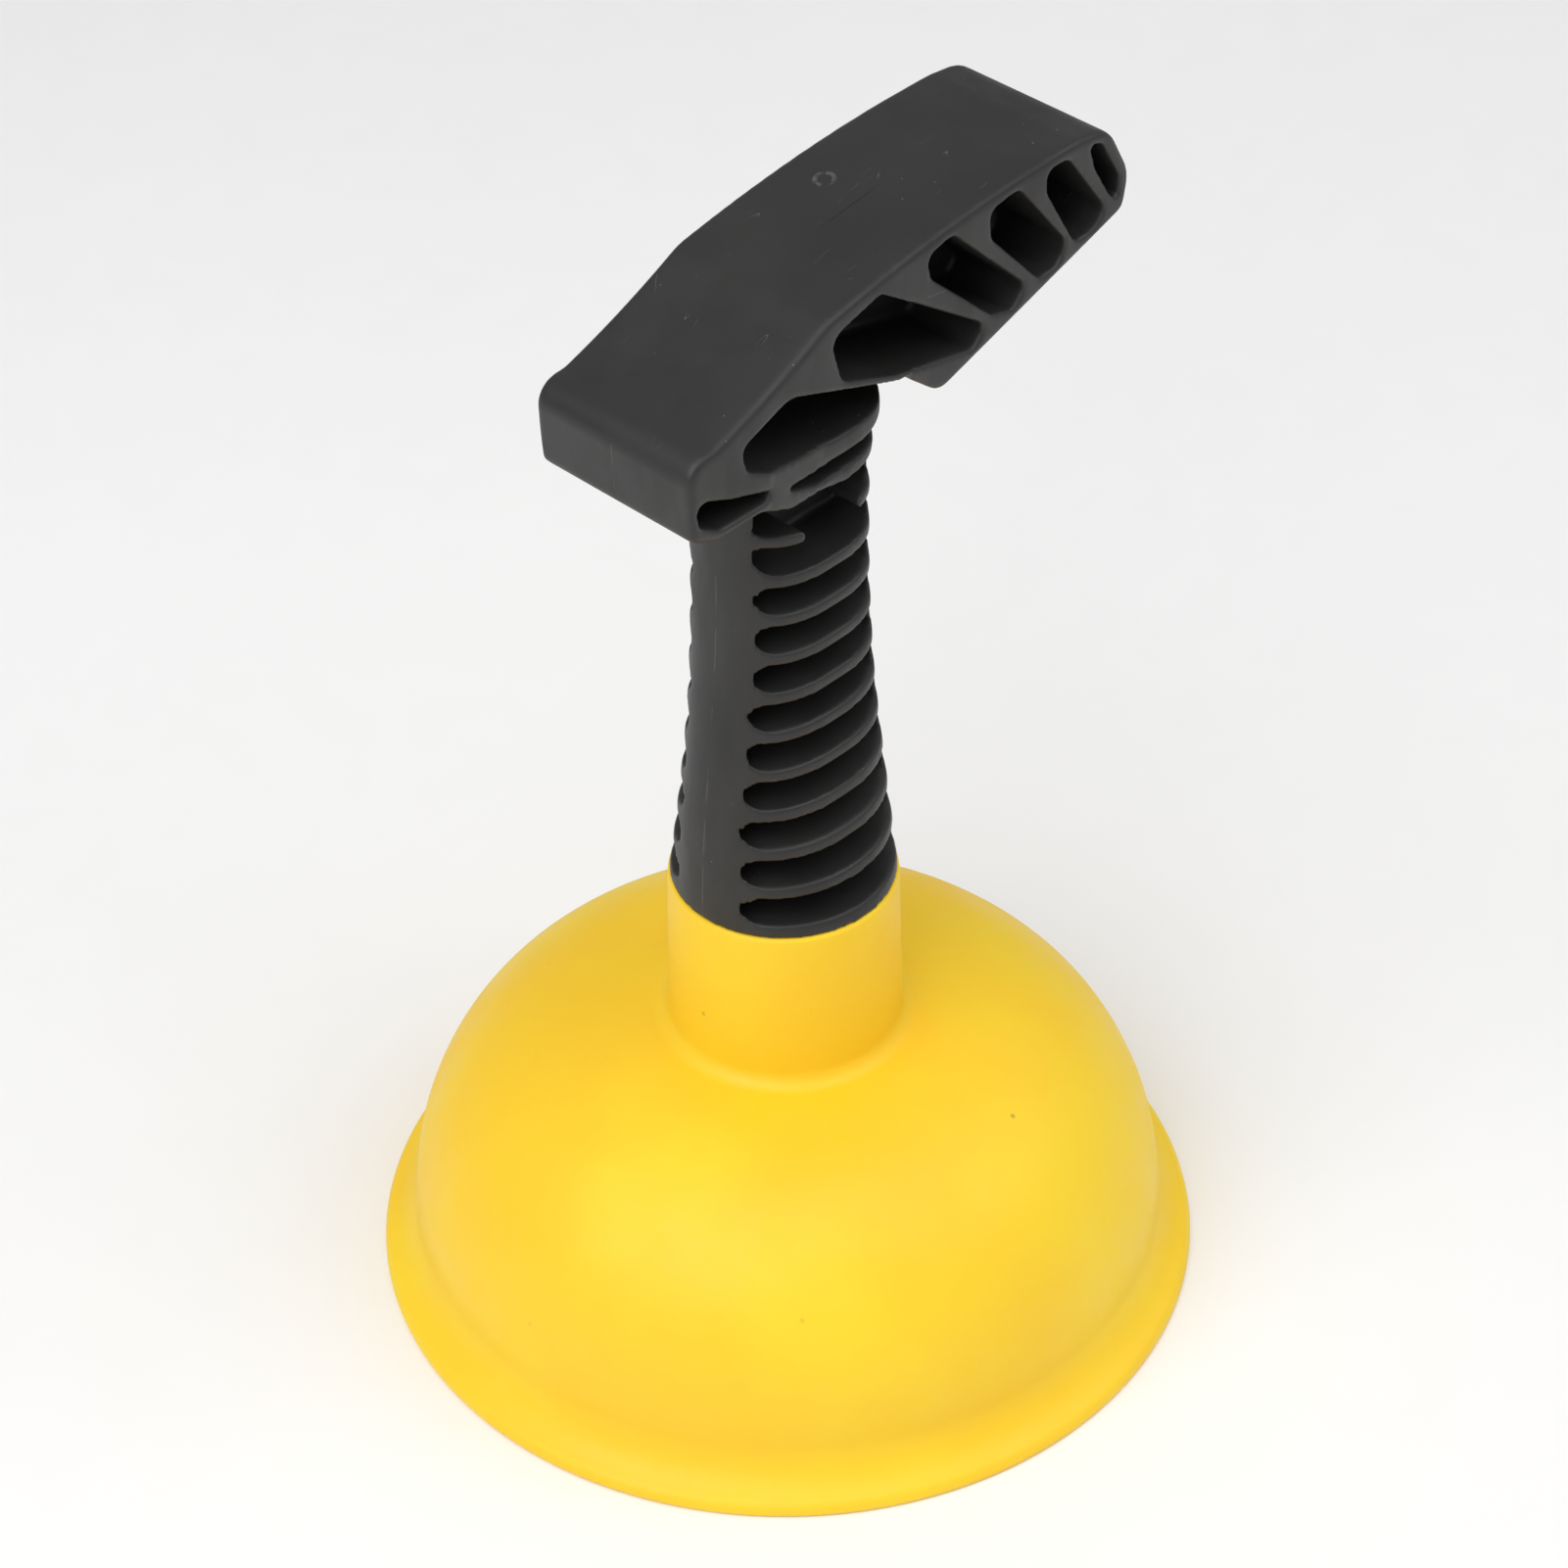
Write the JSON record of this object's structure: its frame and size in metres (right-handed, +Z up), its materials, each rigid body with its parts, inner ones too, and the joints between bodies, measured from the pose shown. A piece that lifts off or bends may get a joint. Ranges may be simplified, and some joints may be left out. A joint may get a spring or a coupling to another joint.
{
  "type": "sink plunger",
  "caption": "Short sink plunger: a flexible domed rubber cup with a flared lip, pushed on to an asymmetrical ribbed plastic T-handle.",
  "frame": {"origin": "centre of the face that the cup's lip rests on", "axes": "+Z up the plunger's axis towards the grip, +X along the grip towards its long arm, +Y across it"},
  "size_m": [0.14, 0.14, 0.2008],
  "materials": {
    "cup_rubber": "smooth satin",
    "handle_plastic": "satin moulded"
  },
  "bodies": {
    "cup": {"rubber_cup": "cup_rubber"},
    "handle": {"handle": "handle_plastic"}
  },
  "joints": [
    {"name": "plunge", "type": "slide", "parent": "cup", "child": "handle", "axis": [0, 0, -1], "range_m": [0, 0.028], "stiffness_N_per_m": 1500, "springref_m": -0.003, "deforming": ["rubber_cup"]}
  ]
}
